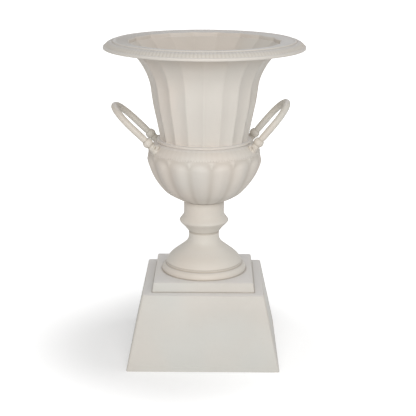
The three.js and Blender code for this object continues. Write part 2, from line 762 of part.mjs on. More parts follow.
// The cast socket that a leg stands in: a flared stub round the leg, and a leaf that hugs the shoulder.
function leafSocket(handle, side) {
  const stubEnd = COLLAR_PLACE - COLLAR_LENGTH / 2 - CLEARANCE;
  const bead = upright(BEAD_DIAMETER + 2 * CLEARANCE, BEAD_Z - CLEARANCE, BELL_Z, WIDE_FACETS);
  const keepOut = solidOf(shoulderForm(CLEARANCE)).add(solidOf(bead));
  const belowBead = solidOf(upright(2 * SHOULDER_DIAMETER, SHOULDER_Z, BEAD_Z - CLEARANCE));
  const aboveBowl = solidOf(upright(2 * SHOULDER_DIAMETER, SHOULDER_Z, RIM_Z));
  const skin = solidOf(shoulderForm(LEAF_THICKNESS)).intersect(belowBead);
  const footY = (side * HANDLE_SPAN) / 2;
  const leaf = new THREE.ExtrudeGeometry(leafOutline(), {
    depth: LEAF_WIDTH,
    bevelEnabled: false,
    curveSegments: CURVE_STEPS,
  })
    .translate(0, 0, -LEAF_WIDTH / 2)
    .rotateX(Math.PI / 2 - THREE.MathUtils.degToRad(LEAF_RISE))
    .rotateZ(Math.PI / 2 + Math.atan2(footY, handle.footRadius))
    .translate(handle.footRadius, footY, SHOULDER_Z + HANDLE_FOOT_HEIGHT)
    .rotateZ(THREE.MathUtils.degToRad(handle.turn));
  const flare = new THREE.Path();
  flare.moveTo(0, -HANDLE_BAR_START);
  flare.lineTo(SOCKET_ROOT_DIAMETER / 2, -HANDLE_BAR_START);
  flare.quadraticCurveTo(SOCKET_END_DIAMETER / 2, stubEnd / 2, SOCKET_END_DIAMETER / 2, stubEnd);
  flare.lineTo(0, stubEnd);
  const stub = onLeg(turned(flare, SMALL_FACETS).rotateY(Math.PI / 2), handle, side);
  const barHole = lengthwise(HANDLE_BAR_DIAMETER + 2 * CLEARANCE, HANDLE_BAR_START - CLEARANCE, stubEnd + 1);
  const tenonHole = lengthwise(TENON_DIAMETER + 2 * BOLT_PLAY, -BOSS_DEPTH, HANDLE_BAR_START);
  return geometryOf(
    skin
      .intersect(solidOf(leaf))
      .add(solidOf(stub).intersect(aboveBowl))
      .subtract(keepOut)
      .subtract(solidOf(onLeg(barHole, handle, side)))
      .subtract(solidOf(onLeg(tenonHole, handle, side))),
  );
}

function addHandles() {
  const washerPlace = -BOSS_DEPTH - HANDLE_WASHER_THICKNESS;
  const nutPlace = washerPlace - HANDLE_NUT_HEIGHT;
  for (const handle of HANDLES) {
    addPiece(`${handle.name}_handle`, handleLoop(handle), castMetal);
    for (const side of SIDES) {
      const name = `${handle.name}_${side === handle.frontSide ? "front" : "back"}`;
      const ring = washer(HANDLE_WASHER_DIAMETER, TENON_DIAMETER, HANDLE_WASHER_THICKNESS - CLEARANCE);
      const nut = hexNut(HANDLE_NUT_FLATS, TENON_DIAMETER, HANDLE_NUT_HEIGHT - CLEARANCE);
      ring.rotateY(Math.PI / 2).translate(washerPlace, 0, 0);
      nut.rotateY(Math.PI / 2).translate(nutPlace, 0, 0);
      addPiece(`${name}_collar`, onLeg(collar(), handle, side), castMetal);
      addPiece(`${name}_leaf_socket`, leafSocket(handle, side), castMetal);
      addPiece(`${name}_handle_washer`, onLeg(ring, handle, side), zincSteel);
      addPiece(`${name}_handle_nut`, onLeg(nut, handle, side), zincSteel);
    }
  }
}

function plateBolt() {
  const under = PEDESTAL_HEIGHT - PEDESTAL_DECK - PLATE_WASHER_THICKNESS;
  const head = new THREE.ExtrudeGeometry(hexagon(PLATE_BOLT_HEAD), {
    depth: PLATE_BOLT_HEAD_HEIGHT,
    bevelEnabled: false,
  }).translate(0, 0, under - PLATE_BOLT_HEAD_HEIGHT);
  const shank = upright(PLATE_BOLT_DIAMETER, under - 1, PLATE_Z + PLATE_BOLT_GRIP);
  return geometryOf(solidOf(head).add(solidOf(shank)));
}

function addPlateBolts() {
  const washerZ = PEDESTAL_HEIGHT - PEDESTAL_DECK - PLATE_WASHER_THICKNESS;
  plateBoltPlaces().forEach(([x, y], i) => {
    const ring = washer(PLATE_WASHER_DIAMETER, PLATE_BOLT_DIAMETER, PLATE_WASHER_THICKNESS);
    addPiece(`plate_bolt_${i + 1}`, plateBolt(), zincSteel).position.set(x, y, 0);
    addPiece(`plate_washer_${i + 1}`, ring, zincSteel).position.set(x, y, washerZ);
  });
}

function neckScrew() {
  const seat = BELL_Z + FLANGE_THICKNESS;
  const head = upright(NECK_SCREW_HEAD, seat, seat + NECK_SCREW_HEAD_HEIGHT);
  const shank = upright(NECK_SCREW_DIAMETER, BEAD_Z - NECK_SCREW_GRIP, seat + 1);
  return geometryOf(solidOf(head).add(solidOf(shank)));
}

function addNeckScrews() {
  neckScrewPlaces().forEach(([x, y], i) => {
    addPiece(`neck_screw_${i + 1}`, neckScrew(), zincSteel).position.set(x, y, 0);
  });
}

function addTieRod() {
  const plateUnder = RING_Z - PLATE_WALL;
  const lowWasherZ = plateUnder - ROD_WASHER_THICKNESS;
  const lowNutZ = lowWasherZ - ROD_NUT_HEIGHT;
  const sealZ = BOWL_Z + BOWL_FLOOR;
  const highWasherZ = sealZ + ROD_SEAL_THICKNESS;
  const highNutZ = highWasherZ + ROD_WASHER_THICKNESS;
  const rodWasher = () => washer(ROD_WASHER_DIAMETER, ROD_DIAMETER, ROD_WASHER_THICKNESS);
  const rodNut = () => hexNut(ROD_NUT_FLATS, ROD_DIAMETER, ROD_NUT_HEIGHT);
  addPiece("tie_rod", upright(ROD_DIAMETER, lowNutZ - 1, highNutZ + ROD_NUT_HEIGHT + ROD_END), zincSteel);
  addPiece("tie_rod_lower_washer", rodWasher(), zincSteel).position.z = lowWasherZ;
  addPiece("tie_rod_lower_nut", rodNut(), zincSteel).position.z = lowNutZ;
  const seal = washer(ROD_SEAL_DIAMETER, ROD_DIAMETER, ROD_SEAL_THICKNESS);
  addPiece("tie_rod_seal", seal, blackRubber).position.z = sealZ;
  addPiece("tie_rod_upper_washer", rodWasher(), zincSteel).position.z = highWasherZ;
  addPiece("tie_rod_upper_nut", rodNut(), zincSteel).position.z = highNutZ;
}

addPiece("pedestal", pedestal(), castMetal);
addPiece("plinth_plate", plinthPlate(), castMetal);
addPiece("foot_ring", footRing(), castMetal);
addPiece("foot_dome", footDome(), castMetal);
addPiece("stem_knop", stemWithKnop(), castMetal);
addPiece("bowl", bowl(), castMetal);
addPiece("shoulder", shoulder(), castMetal);
addPiece("bead_ring", beadRing(), castMetal);
addPiece("bell", bell(), castMetal);
addPiece("rim", rim(), castMetal);
addHandles();
addPlateBolts();
addNeckScrews();
addTieRod();

export default urn;
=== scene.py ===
import math

import bpy
import numpy as np
from mathutils import Matrix, Vector


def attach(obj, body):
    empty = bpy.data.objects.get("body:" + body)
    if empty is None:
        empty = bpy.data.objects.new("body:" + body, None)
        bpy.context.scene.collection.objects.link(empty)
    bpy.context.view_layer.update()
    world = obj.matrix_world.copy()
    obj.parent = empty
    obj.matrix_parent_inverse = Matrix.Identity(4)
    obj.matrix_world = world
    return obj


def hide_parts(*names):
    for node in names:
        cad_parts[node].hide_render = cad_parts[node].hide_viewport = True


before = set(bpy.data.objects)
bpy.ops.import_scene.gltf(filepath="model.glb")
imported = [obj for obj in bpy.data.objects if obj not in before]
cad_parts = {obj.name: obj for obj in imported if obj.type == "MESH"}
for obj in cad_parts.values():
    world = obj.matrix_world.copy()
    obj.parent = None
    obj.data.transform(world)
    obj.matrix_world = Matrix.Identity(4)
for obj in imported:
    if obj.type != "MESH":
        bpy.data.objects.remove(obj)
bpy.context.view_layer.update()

MM = 0.001
TURN = 2 * math.pi

# Heights of the joints between the castings
DECK_Z = 171.0
RING_Z = 193.0
DOME_Z = 212.5
KNOP_Z = 286.0
BOWL_Z = 360.0
SHOULDER_Z = 478.0
BEAD_Z = 501.0
BELL_Z = 507.0
RIM_Z = 722.0

# Radius of the opening through the shoulder, the astragal and the bell's foot
BORE = 80.0

# Counts of the repeated forms
LOBES = 16
LOBE_TURN = math.radians(-3.2)
FLUTES = 19
TONGUES = 168
LEAVES = 64
SHOULDER_BEADS = 128

# Handles: reach of each loop, its foot's distance from the axis, its tilt and turn in degrees, and which
# side of its middle the front leg is on
HANDLE_SPAN = 113.0
HANDLE_FOOT_Z = 490.0
HANDLES = {
    "left": {"reach": 134.0, "foot": 111.0, "tilt": 46.0, "turn": 180.0, "front": 1},
    "right": {"reach": 131.0, "foot": 107.0, "tilt": 52.0, "turn": 3.0, "front": -1},
}
BAR_RADIUS = 7.3
LOOP_RADIUS = 8.0
LOOP_SAG = 4.2
LOOP_SHORT = 2.2
BAR_START = 10.0
TENON_RADIUS = 5.0
TENON_END = -42.0
COLLAR_PLACE = 23.0
COLLAR_HALF = 8.0

# Display colours of the finishes
CREAM = (214, 206, 195)
# Tint painted on faces turned upwards, a painted light for how the light falls on tops
CREAM_PAINTED_TOP_LIGHT = (224, 221, 219)
CREAM_FLECK = (188, 178, 164)
# Lighter colour painted along raised edges, a painted highlight
CREAM_EDGE_HIGHLIGHT = (228, 222, 213)
# Brown painted into recesses, joints and hollows, a painted shade
PAINTED_SHADE_COLOUR = (138, 122, 98)


# Meshes

def smooth_line(points, steps=6):
    """Points on a smooth curve through the given ones."""
    p = np.array(points, float)
    p = np.vstack([2 * p[0] - p[1], p, 2 * p[-1] - p[-2]])
    out = []
    for i in range(1, len(p) - 2):
        a, b, c, d = p[i - 1], p[i], p[i + 1], p[i + 2]
        for k in range(steps):
            t = k / steps
            out.append(0.5 * (2 * b + (c - a) * t + (2 * a - 5 * b + 4 * c - d) * t ** 2
                              + (3 * b - a - 3 * c + d) * t ** 3))
    out.append(p[-2])
    return out


def outline(*parts):
    """One closed outline from points and runs of points."""
    rows = []
    for part in parts:
        run = [part] if np.ndim(part) == 1 else list(part)
        for point in run:
            if not rows or np.hypot(*(np.array(point) - rows[-1])) > 1e-6:
                rows.append(np.array(point, float))
    return np.array(rows)


def mesh_object(name, points, faces, recess=None, sharp=35):
    """A closed mesh from points in millimetres, with its faces turned outwards and an amount of painted shade
    at each point.
    """
    points = np.array(points, float) * MM
    faces = np.array(faces)
    a, b, c, d = (points[faces[:, k]] for k in range(4))
    volume = (np.cross(a, b) * c).sum() + (np.cross(a, c) * d).sum()
    if volume < 0:
        faces = faces[:, ::-1]
    rows = [[int(v) for v in dict.fromkeys(face)] for face in faces.tolist()]
    mesh = bpy.data.meshes.new(name)
    mesh.from_pydata(points.tolist(), [], rows)
    if recess is not None:
        layer = mesh.attributes.new("recess", "FLOAT", "POINT")
        layer.data.foreach_set("value", np.array(recess, np.float32).ravel())
    mesh.shade_smooth()
    mesh.set_sharp_from_angle(angle=math.radians(sharp))
    mesh.validate()
    piece = bpy.data.objects.new(name, mesh)
    bpy.context.scene.collection.objects.link(piece)
    return piece


def grid_faces(rows, columns, wrap_rows=True):
    """Quads between neighbouring rows of points, each row a closed ring."""
    i, j = np.meshgrid(np.arange(rows if wrap_rows else rows - 1), np.arange(columns), indexing="ij")
    near, far = i * columns, (i + 1) % rows * columns
    here, following = j, (j + 1) % columns
    return np.stack([near + here, near + following, far + following, far + here], -1).reshape(-1, 4)


def turned(name, rows, around, shape=None, sharp=35):
    """A ring-shaped casting: a closed outline turned about the axis, carved by shape(angle, r, z)."""
    angle = np.arange(around) * TURN / around
    r = np.repeat(rows[:, :1], around, 1)
    z = np.repeat(rows[:, 1:], around, 1)
    turn = np.repeat(angle[None], len(rows), 0)
    recess = np.zeros_like(r)
    if shape:
        r, z, recess = shape(turn, r, z)
    points = np.stack([r * np.sin(turn), -r * np.cos(turn), z], -1).reshape(-1, 3)
    return mesh_object(name, points, grid_faces(len(rows), around), recess, sharp)


def square_row(half, corner, z):
    """One level of a square casting with rounded corners; corner equal to half makes a circle."""
    per_corner, per_side = 8, 6
    row = []
    inner = half - corner
    for quarter in range(4):
        cos, sin = round(math.cos(quarter * TURN / 4)), round(math.sin(quarter * TURN / 4))
        run = []
        for k in range(per_side):
            run.append((half, inner * (2 * k / per_side - 1)))
        for k in range(per_corner):
            bend = k / per_corner * TURN / 4
            run.append((inner + corner * math.cos(bend), inner + corner * math.sin(bend)))
        row += [(x * cos - y * sin, x * sin + y * cos, z) for x, y in run]
    return row


def squared(name, levels, sharp=35):
    """A square casting from levels of (half side, corner radius, height, painted shade), closed into a ring.
    """
    rows = [square_row(*level[:3]) for level in levels]
    dust_and_shade = [[level[3] if len(level) > 3 else 0.0] * len(rows[0]) for level in levels]
    points = np.array(rows).reshape(-1, 3)
    return mesh_object(name, points, grid_faces(len(rows), len(rows[0])), dust_and_shade, sharp)


def joint_shade(*joints):
    """A shape that only adds painted shade: within reach of each joint's height, up to its share."""
    def gather(angle, r, z):
        dust_and_shade = np.zeros_like(z)
        for height, reach, share in joints:
            dust_and_shade = np.maximum(dust_and_shade, share * np.clip(1 - np.abs(z - height) / reach, 0, 1))
        return r, z, dust_and_shade
    return gather


def softened(t, low, high):
    """0 below low, 1 above high and an even ease between."""
    x = np.clip((t - low) / (high - low), 0, 1)
    return x * x * (3 - 2 * x)


def across(angle, count, start=0.0):
    """Place across one repeat of a pattern: -1 to 1, with 0 at the middle of the repeat."""
    turn = angle / TURN * count + start
    return 2 * (turn - np.floor(turn)) - 1


# Finishes

class Value:
    """A number travelling through a material's nodes; sums on it add Math nodes."""

    def __init__(self, finish, socket):
        self.finish = finish
        self.socket = socket

    def _sum(self, operation, *values):
        return self.finish.node("ShaderNodeMath", {"operation": operation}, dict(enumerate(values)))

    def __add__(self, other):
        return self._sum("ADD", self, other)

    def __radd__(self, other):
        return self._sum("ADD", other, self)

    def __mul__(self, other):
        return self._sum("MULTIPLY", self, other)

    def __rmul__(self, other):
        return self._sum("MULTIPLY", other, self)

    def most(self, other):
        return self._sum("MAXIMUM", self, other)

    def least(self, other):
        return self._sum("MINIMUM", self, other)

    def within(self):
        """Held between 0 and 1."""
        return self.most(0.0).least(1.0)


class Finish:
    """The nodes of one material, or of the studio's air."""

    def __init__(self, owner, output="ShaderNodeOutputMaterial"):
        owner.use_nodes = True
        self.owner = owner
        self.tree = owner.node_tree
        self.tree.nodes.clear()
        self.output = self.tree.nodes.new(output)

    def node(self, kind, settings=None, inputs=None, out=0):
        """Adds a node with its settings and inputs, and returns one of its outputs."""
        node = self.tree.nodes.new(kind)
        for key, value in (settings or {}).items():
            setattr(node, key, value)
        for key, value in (inputs or {}).items():
            if isinstance(value, Value):
                self.tree.links.new(value.socket, node.inputs[key])
            else:
                node.inputs[key].default_value = value
        return Value(self, node.outputs[out])

    def place(self):
        """The point on the object, in metres."""
        return self.node("ShaderNodeTexCoord", out="Object")

    def along(self, vector, axis):
        """One of a vector's three numbers: 0 for X, 1 for Y and 2 for Z."""
        return self.node("ShaderNodeSeparateXYZ", inputs={0: vector}, out=axis)

    def noise(self, scale, detail=3.0, roughness=0.5, seed=0.0):
        """Even noise from 0 to 1; scale is in cells per metre."""
        return self.node("ShaderNodeTexNoise", {"noise_dimensions": "4D"}, {
            "Vector": self.place(), "W": seed, "Scale": scale, "Detail": detail, "Roughness": roughness,
        })

    def mix(self, factor, first, second):
        """first where factor is 0 and second where it is 1."""
        first, second = (c if isinstance(c, Value) else (*c, 1.0) for c in (first, second))
        return self.node("ShaderNodeMix", {"data_type": "RGBA"}, {0: factor, 6: first, 7: second}, 2)

    def step(self, value, low, high):
        """0 where value is at low and 1 where it is at high, with an even ease between."""
        return self.node("ShaderNodeMapRange", {"interpolation_type": "SMOOTHSTEP"},
                         {0: value, 1: low, 2: high, 3: 0.0, 4: 1.0})

    def bump(self, height, strength, distance, under=None):
        """A normal raised by height, over the bump that lies under it."""
        inputs = {"Height": height, "Strength": strength, "Distance": distance}
        if under:
            inputs["Normal"] = under
        return self.node("ShaderNodeBump", inputs=inputs)

    def close(self, shader):
        """Leads the last shader to the output."""
        self.tree.links.new(shader.socket, self.output.inputs["Surface"])
        return self.owner

    def surface(self, **inputs):
        """The closing shader, with one keyword per input."""
        named = {key.replace("_", " "): value for key, value in inputs.items()}
        return self.close(self.node("ShaderNodeBsdfPrincipled", inputs=named))


def srgb(red, green, blue):
    """An 8-bit display colour as the shader's linear colour."""
    return tuple((c / 255 / 12.92) if c <= 10 else ((c / 255 + 0.055) / 1.055) ** 2.4
                 for c in (red, green, blue))


def new_finish(name):
    """An empty material, ready for its nodes."""
    return Finish(bpy.data.materials.new(name))


def cream_paint(name, seed, tone=CREAM, top=CREAM_PAINTED_TOP_LIGHT, shade_strength=1.0, grain=1.0):
    """Satin cream enamel over a sand casting: faint clouds and fine grain, with painted shade in the
    recesses, a painted highlight on raised edges and a painted tint on faces turned upwards.
    """
    paint = new_finish(name)
    cloud = paint.noise(7.0, 4.0, 0.55, seed=seed)
    tint = paint.noise(4.5, 2.0, 0.5, seed=seed + 11)
    fleck = paint.noise(140.0, 3.0, 0.6, seed=seed + 3)
    sand = paint.noise(620.0, 2.0, 0.5, seed=seed + 7)
    recess = paint.node("ShaderNodeAttribute", {"attribute_name": "recess"}, out="Fac")
    edge = paint.node("ShaderNodeNewGeometry", out="Pointiness")
    normal = paint.node("ShaderNodeNewGeometry", out="Normal")
    # Faces turned upwards are mixed towards the top colour, painted to show how the light falls on tops
    painted_top_light = paint.step(paint.along(normal, 2), 0.75, 0.98)
    # Concave places, found by pointiness, and each piece's shade amount are mixed towards brown: a painted
    # shade in creases, joints and hollows
    hollow = (paint.step(edge, 0.495, 0.42) * 0.4 + recess).within()
    # Raised edges, found by pointiness, are lightened: a painted highlight
    raised = paint.step(edge, 0.515, 0.58)
    red, green, blue = tone
    colour = paint.mix(paint.step(cloud, 0.3, 0.75), srgb(*tone), srgb(red - 7, green - 7, blue - 7))
    colour = paint.mix(paint.step(tint, 0.42, 0.62) * 0.6, colour, srgb(red - 7, green - 1, blue + 2))
    colour = paint.mix(paint.step(fleck, 0.58, 0.75) * 0.12, colour, srgb(*CREAM_FLECK))
    colour = paint.mix(painted_top_light * 0.7, colour, srgb(*top))
    colour = paint.mix(hollow * (0.6 * shade_strength), colour, srgb(*PAINTED_SHADE_COLOUR))
    colour = paint.mix(raised * 0.2, colour, srgb(*CREAM_EDGE_HIGHLIGHT))
    rough = 0.48 + cloud * 0.1 + hollow * 0.2
    normal = paint.bump(sand, 0.1 * grain, 0.0005)
    normal = paint.bump(fleck, 0.12 * grain, 0.0008, normal)
    return paint.surface(Base_Color=colour, Roughness=rough, Normal=normal, Specular_IOR_Level=0.4)


def zinc_plate(name):
    """Zinc plated steel, dull and a little clouded."""
    zinc = new_finish(name)
    cloud = zinc.noise(120.0, 3.0, 0.6)
    fine = zinc.noise(900.0, 2.0, 0.5, seed=4.0)
    colour = zinc.mix(zinc.step(cloud, 0.3, 0.7), srgb(196, 198, 200), srgb(158, 160, 160))
    return zinc.surface(Base_Color=colour, Metallic=1.0, Roughness=0.32 + cloud * 0.2,
                        Normal=zinc.bump(fine, 0.1, 0.0003))


def black_rubber(name):
    """Moulded black rubber with a dusty bloom."""
    rubber = new_finish(name)
    dust_and_shade = rubber.noise(180.0, 4.0, 0.6)
    colour = rubber.mix(rubber.step(dust_and_shade, 0.4, 0.8), srgb(38, 38, 38), srgb(66, 64, 62))
    return rubber.surface(Base_Color=colour, Roughness=0.75 + dust_and_shade * 0.15,
                          Normal=rubber.bump(dust_and_shade, 0.1, 0.0004))


def seen(finish):
    """1 for the rays that see the plain white background, and 0 for those that only light the urn."""
    camera, glossy, through = (finish.node("ShaderNodeLightPath", out=name) for name in
                               ("Is Camera Ray", "Is Glossy Ray", "Is Transmission Ray"))
    return camera.most(glossy).most(through)


def pale_floor(name):
    """White studio floor: its own glow hides it from the camera, is weaker where the shadow falls, and is
    stronger right of the urn, a painted light that washes out the shadow there.
    """
    floor = new_finish(name)
    mottle = floor.noise(2.0, 2.0, 0.5)
    colour = floor.mix(mottle, srgb(228, 228, 228), srgb(231, 231, 231))
    reach = floor.node("ShaderNodeVectorMath", {"operation": "LENGTH"}, {0: floor.place()}, "Value")
    under_urn, near, far, right = 0.28, 0.3, 0.42, 0.17
    white = under_urn + floor.step(reach, 0.24, 0.5) * near + floor.step(reach, 0.5, 1.4) * far
    # Extra glow on the right side of the urn, a painted light over the shadow there
    white = (white + floor.step(floor.along(floor.place(), 0), -0.1, 0.26) * right) * seen(floor)
    return floor.surface(Base_Color=colour, Roughness=0.9, Specular_IOR_Level=0.0,
                         Emission_Color=floor.mix(white, (0, 0, 0), (1, 1, 1)), Emission_Strength=1.0)


def studio_air(name, strength):
    """Even light of the given strength all round, with a white background behind it."""
    world = bpy.data.worlds.new(name)
    bpy.context.scene.world = world
    air = Finish(world, "ShaderNodeOutputWorld")
    plain = (1.0, 1.0, 1.0, 1.0)
    light = air.node("ShaderNodeBackground", inputs={"Color": plain, "Strength": strength})
    white = air.node("ShaderNodeBackground", inputs={"Color": plain, "Strength": 1.0})
    air.close(air.node("ShaderNodeMixShader", inputs={0: seen(air), 1: light, 2: white}))


def finished(piece, paint, node):
    """Paints a piece, lets it ride on the urn and stand for its CAD node."""
    piece.data.materials.append(paint)
    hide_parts(node)
    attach(piece, "root")


# Castings

def pedestal_casting(paint):
    """Tapered square pedestal, hollow below, with crisp but rounded arrises."""
    base, top, wall, deck, access = 175.0, 138.5, 6.0, 8.0, 30.0

    def side(z):
        return base + (top - base) * z / DECK_Z

    under = DECK_Z - deck
    # The deck is painted darker round the plate's foot, a painted shade
    finished(squared("pedestal_casting", [
        (side(0.4) - 0.4, 4.6, 0.0), (side(1.2), 5.0, 1.2), (side(60), 5.0, 60.0), (side(120), 5.0, 120.0),
        (side(DECK_Z - 3), 5.0, DECK_Z - 3), (side(DECK_Z - 1.4) - 0.3, 4.8, DECK_Z - 1.4),
        (side(DECK_Z) - 1.0, 4.4, DECK_Z - 0.4), (side(DECK_Z) - 2.6, 3.6, DECK_Z), (120.0, 3.0, DECK_Z),
        (118.0, 3.0, DECK_Z, 0.9), (116.0, 3.0, DECK_Z, 1.0), (access + 1, access + 1, DECK_Z),
        (access, access, DECK_Z - 1), (access, access, under), (side(under) - wall - 4, 6.0, under),
        (side(under - 4) - wall, 8.0, under - 4), (side(40) - wall, 5.0, 40.0), (side(0) - wall, 5.0, 0.0),
    ]), paint, "pedestal")


def plinth_casting(paint):
    """Square plate between the pedestal and the foot, with a slight draught and soft edges."""
    low, high, hole, deep = 117.0, 114.25, 6.5, 7.0
    # Painted shade along the plate's foot on the deck and round the foot ring on its top
    finished(squared("plinth_casting", [
        (low - 0.8, 2.6, DECK_Z, 0.9), (low, 3.0, DECK_Z + 1, 0.5), (low - 0.2, 3.0, DECK_Z + 3),
        (high + 0.4, 3.0, RING_Z - 3), (high, 3.0, RING_Z - 1.6), (high - 0.6, 2.8, RING_Z - 0.6),
        (high - 1.7, 2.4, RING_Z), (104.0, 104.0, RING_Z), (99.6, 99.6, RING_Z, 0.9),
        (96.0, 96.0, RING_Z, 1.0), (hole, hole, RING_Z),
        (hole, hole, RING_Z - deep), (30.0, 3.0, RING_Z - deep), (30.0, 3.0, DECK_Z),
    ]), paint, "plinth_plate")


def foot_ring_casting(paint):
    """Moulded ring under the dome: an upright band, a rounded shoulder and a small step."""
    bore = 35.0
    band = smooth_line([(99.0, 195.2), (98.9, 198.5), (98.0, 201.6), (95.8, 205.2), (93.2, 207.6),
                        (91.4, 208.4)])
    rows = outline((bore, RING_Z), (98.0, RING_Z), (98.8, 193.8), band, (90.4, 208.7), (90.0, 209.4),
                   (89.8, 211.2), (89.2, DOME_Z), (bore, DOME_Z))
    # Painted shade at the ring's foot on the plate and in the groove under the dome
    dust_and_shade = joint_shade((RING_Z, 3.0, 0.9), (210.0, 2.6, 1.0))
    finished(turned("foot_ring_casting", rows, 160, dust_and_shade), paint, "foot_ring")


def foot_dome_casting(paint):
    """Ogee dome that narrows to the neck under the knop."""
    bore, hole = 35.0, 6.4
    side = smooth_line([(88.7, 213.7), (88.0, 216.5), (85.7, 220.4), (80.4, 227.8), (71.6, 236.0),
                        (61.3, 244.0), (50.6, 252.0), (41.6, 260.0), (37.0, 267.6), (35.7, 274.0),
                        (35.5, 280.0), (35.5, 285.2)])
    rows = outline((bore, DOME_Z), (88.0, DOME_Z), side, (35.1, KNOP_Z), (hole, KNOP_Z), (hole, 277.0),
                   (18.0, 277.0), (bore, 236.5))
    # Painted shade at the dome's joints with the ring and the knop
    dust_and_shade = joint_shade((DOME_Z, 3.0, 0.9), (KNOP_Z, 4.0, 0.9))
    finished(turned("foot_dome_casting", rows, 160, dust_and_shade), paint, "foot_dome")


def stem_casting(paint):
    """Knop with its sharp edge, and the stem above it."""
    bore = 28.0
    lower = smooth_line([(36.2, 287.0), (37.6, 289.0), (40.6, 292.8), (46.4, 299.8), (54.2, 307.6),
                         (56.6, 310.6)])
    edge = smooth_line([(57.0, 311.4), (57.5, 312.6), (57.3, 314.0)], 4)
    upper = smooth_line([(56.4, 315.8), (53.2, 320.0), (49.8, 324.6), (47.8, 328.2), (47.3, 330.4),
                         (47.2, 333.0)])
    rows = outline((bore, KNOP_Z), (35.2, KNOP_Z), lower, edge, upper, (47.2, 352.0), (47.2, 359.3),
                   (46.9, BOWL_Z), (bore, BOWL_Z))
    # Painted shade at the knop's joint and under the bowl
    dust_and_shade = joint_shade((KNOP_Z, 4.0, 0.9), (BOWL_Z, 1.5, 0.6))
    finished(turned("stem_casting", rows, 128, dust_and_shade), paint, "stem_knop")


def gadrooned_bowl(paint):
    """Bowl with sixteen soft swelling lobes that end in round heads, and darts between the heads."""
    relief, widest, head_start, head_end, dart_rise = 4.6, 132.8, 457.0, 475.5, 1.3
    mouth, floor_z, hole = 121.2, 370.0, 6.4
    foot = outline((44.0, BOWL_Z), (46.6, BOWL_Z))
    belly = smooth_line([(47.6, 361.0), (57.6, 364.6), (67.0, 369.3), (76.0, 374.4), (83.8, 379.4),
                         (91.0, 385.0), (98.0, 392.0), (104.6, 400.0), (110.6, 408.0), (115.9, 416.0),
                         (120.5, 424.0), (124.4, 432.0), (127.8, 440.0), (130.6, 448.0), (132.4, 455.0),
                         (widest, 460.0), (132.5, 465.0), (131.8, 470.0), (130.7, 474.0), (129.7, 477.0)], 5)
    inside = smooth_line([(mouth, SHOULDER_Z), (mouth, 456.0), (118.5, 438.0), (110.0, 422.0), (98.0, 406.0),
                          (82.0, 391.0), (66.0, 377.5), (47.5, 370.2)], 3)
    rows = outline(foot, belly, (128.8, SHOULDER_Z), inside, (hole, floor_z), (hole, BOWL_Z))
    outer = len(foot) + len(belly)
    is_outer = (np.arange(len(rows)) < outer)[:, None]

    def lobes(angle, r, z):
        u = across(angle - LOBE_TURN, LOBES, 0.5)
        head = np.clip((z - head_start) / (head_end - head_start), 0, 1)
        valley = (1 - np.cos(np.pi * np.clip(np.hypot(u, head), 0, 1))) / 2
        low = 1 - 0.8 * softened(z, 455.0, SHOULDER_Z)
        depth = relief * r / widest * low * valley
        width = 0.34 * softened(z, 459.0, 477.0)
        dart = np.clip(1 - (1 - np.abs(u)) / np.maximum(width, 1e-3), 0, 1) * (z > 459.5)
        depth = np.where(is_outer, depth - dart_rise * dart ** 0.8, 0)
        depth = np.where(z < 361.5, np.minimum(depth, 0.8), depth)
        # Painted shade in the lobe valleys, under the shoulder's beads and at the bowl's foot
        dust_and_shade = (0.3 * valley ** 4 * (1 - dart) + 0.15 * softened(z, 476.0, SHOULDER_Z)
                + 0.4 * softened(-z, -364.0, -361.0))
        return r - depth, z, np.where(is_outer, dust_and_shade, 0)

    finished(turned("gadrooned_bowl", rows, LOBES * 22, lobes, 50), paint, "bowl")


SHOULDER_LINE = smooth_line([(128.2, 482.6), (126.6, 485.6), (123.9, 489.6), (120.2, 493.6), (115.6, 497.4),
                             (111.4, 499.8)], 5)


def leaf_band_shoulder(paint):
    """Sloping shoulder with a row of small beads at its foot and low, upright leaves above it."""
    beads = [(128.9, 478.7), (129.2, 479.3), (129.3, 480.1), (129.2, 480.9), (128.9, 481.5)]
    rows = outline((117.4, SHOULDER_Z), (128.5, SHOULDER_Z), beads, SHOULDER_LINE, (109.8, BEAD_Z),
                   (BORE, BEAD_Z), (BORE, 495.0), (91.0, 495.0), (111.4, 479.0), (111.4, 472.4),
                   (117.2, 472.4))
    length = len(SHOULDER_LINE)
    start = 2 + len(beads)

    def leaves(angle, r, z):
        line = (np.arange(len(rows)) - start + 0.5) / length
        v = np.clip(line, 0, 1)[:, None]
        on_leaf = ((line > 0) & (line < 1))[:, None]
        u = across(angle, LEAVES, 0.5)
        width = np.sqrt(np.clip(1 - ((v - 0.42) / 0.55) ** 2, 0, 1)) * 0.92
        leaf = np.clip(1 - np.abs(u) / np.maximum(width, 1e-3), 0, 1)
        raised = np.where(on_leaf, 0.34 * leaf ** 0.6 - 0.12 * np.exp(-(u / 0.16) ** 2) * leaf - 0.25, 0)
        # Painted shade between the leaves
        dust_and_shade = np.where(on_leaf, 0.08 * (1 - leaf ** 0.4), 0)
        in_beads = (z > 478.2) & (z < 482.2) & (r > 125)
        pearl = np.sqrt(np.clip(1 - across(angle, SHOULDER_BEADS, 0.5) ** 2, 0, 1))
        groove = np.where(in_beads, 0.7 * (1 - pearl), 0)
        # Painted shade round the beads
        dust_and_shade = np.where(in_beads, 0.35 * (1 - pearl), dust_and_shade)
        return r - groove + 0.72 * raised, z + 0.6 * raised, dust_and_shade

    finished(turned("leaf_band_shoulder", rows, LEAVES * 12, leaves, 50), paint, "shoulder")


